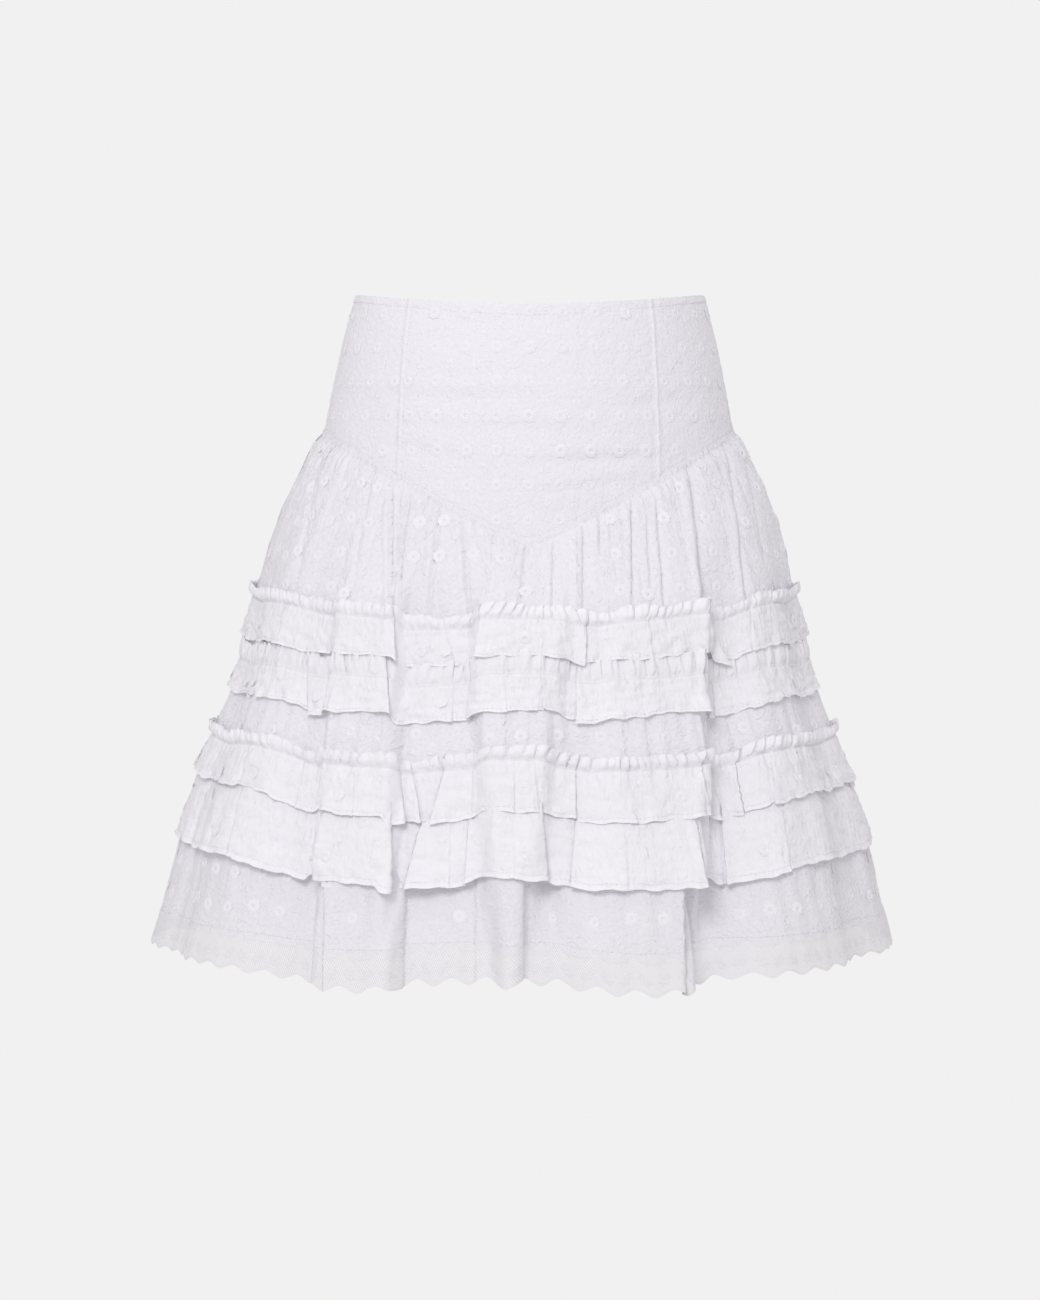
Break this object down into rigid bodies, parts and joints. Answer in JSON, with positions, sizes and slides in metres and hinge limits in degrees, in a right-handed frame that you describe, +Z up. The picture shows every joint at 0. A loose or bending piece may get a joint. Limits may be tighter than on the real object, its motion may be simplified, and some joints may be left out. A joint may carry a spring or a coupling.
{
  "type": "tiered ruffle skirt",
  "caption": "Short white tiered ruffle skirt with a pointed fitted yoke, gathered tiers, stitched-on ruffles and a lace hem, filled out as if worn, open at waist and hem.",
  "frame": {"origin": "middle of the waist opening, 10 mm below the yoke's top edge at the side seams", "axes": "+Z up out of the waist opening, front of the skirt towards -Y, the wearer's left at +X"},
  "size_m": [0.5183, 0.4315, 0.4609],
  "materials": {
    "eyelet_cotton": "matt white cotton with embroidered eyelets",
    "ruffle_cotton": "matt white crinkled cotton",
    "lace": "matt white net lace with scalloped edge",
    "zip_tape": "matt woven tape",
    "zip_metal": "white lacquer, satin"
  },
  "bodies": {
    "skirt": {"yoke_front": "eyelet_cotton", "yoke_side_front_right": "eyelet_cotton", "yoke_side_front_left": "eyelet_cotton", "yoke_side_back_right": "eyelet_cotton", "yoke_side_back_left": "eyelet_cotton", "yoke_back_right": "eyelet_cotton", "yoke_back_left": "eyelet_cotton", "upper_tier_front": "eyelet_cotton", "upper_tier_back": "eyelet_cotton", "lower_tier_front": "eyelet_cotton", "lower_tier_back": "eyelet_cotton", "ruffle_1_front": "ruffle_cotton", "ruffle_1_back": "ruffle_cotton", "ruffle_2_front": "ruffle_cotton", "ruffle_2_back": "ruffle_cotton", "ruffle_3_front": "ruffle_cotton", "ruffle_3_back": "ruffle_cotton", "ruffle_4_front": "ruffle_cotton", "ruffle_4_back": "ruffle_cotton", "lace_front": "lace", "lace_back": "lace", "zip_tape": "zip_tape", "zip_slider": "zip_metal"},
    "zip_pull": {"zip_pull": "zip_metal"}
  },
  "joints": [
    {"name": "zip_pull_swing", "type": "hinge", "parent": "skirt", "child": "zip_pull", "pos_m": [-0.00026, 0.09903, -0.00806], "axis": [1, 0, 0], "range_deg": [0, 150]}
  ]
}
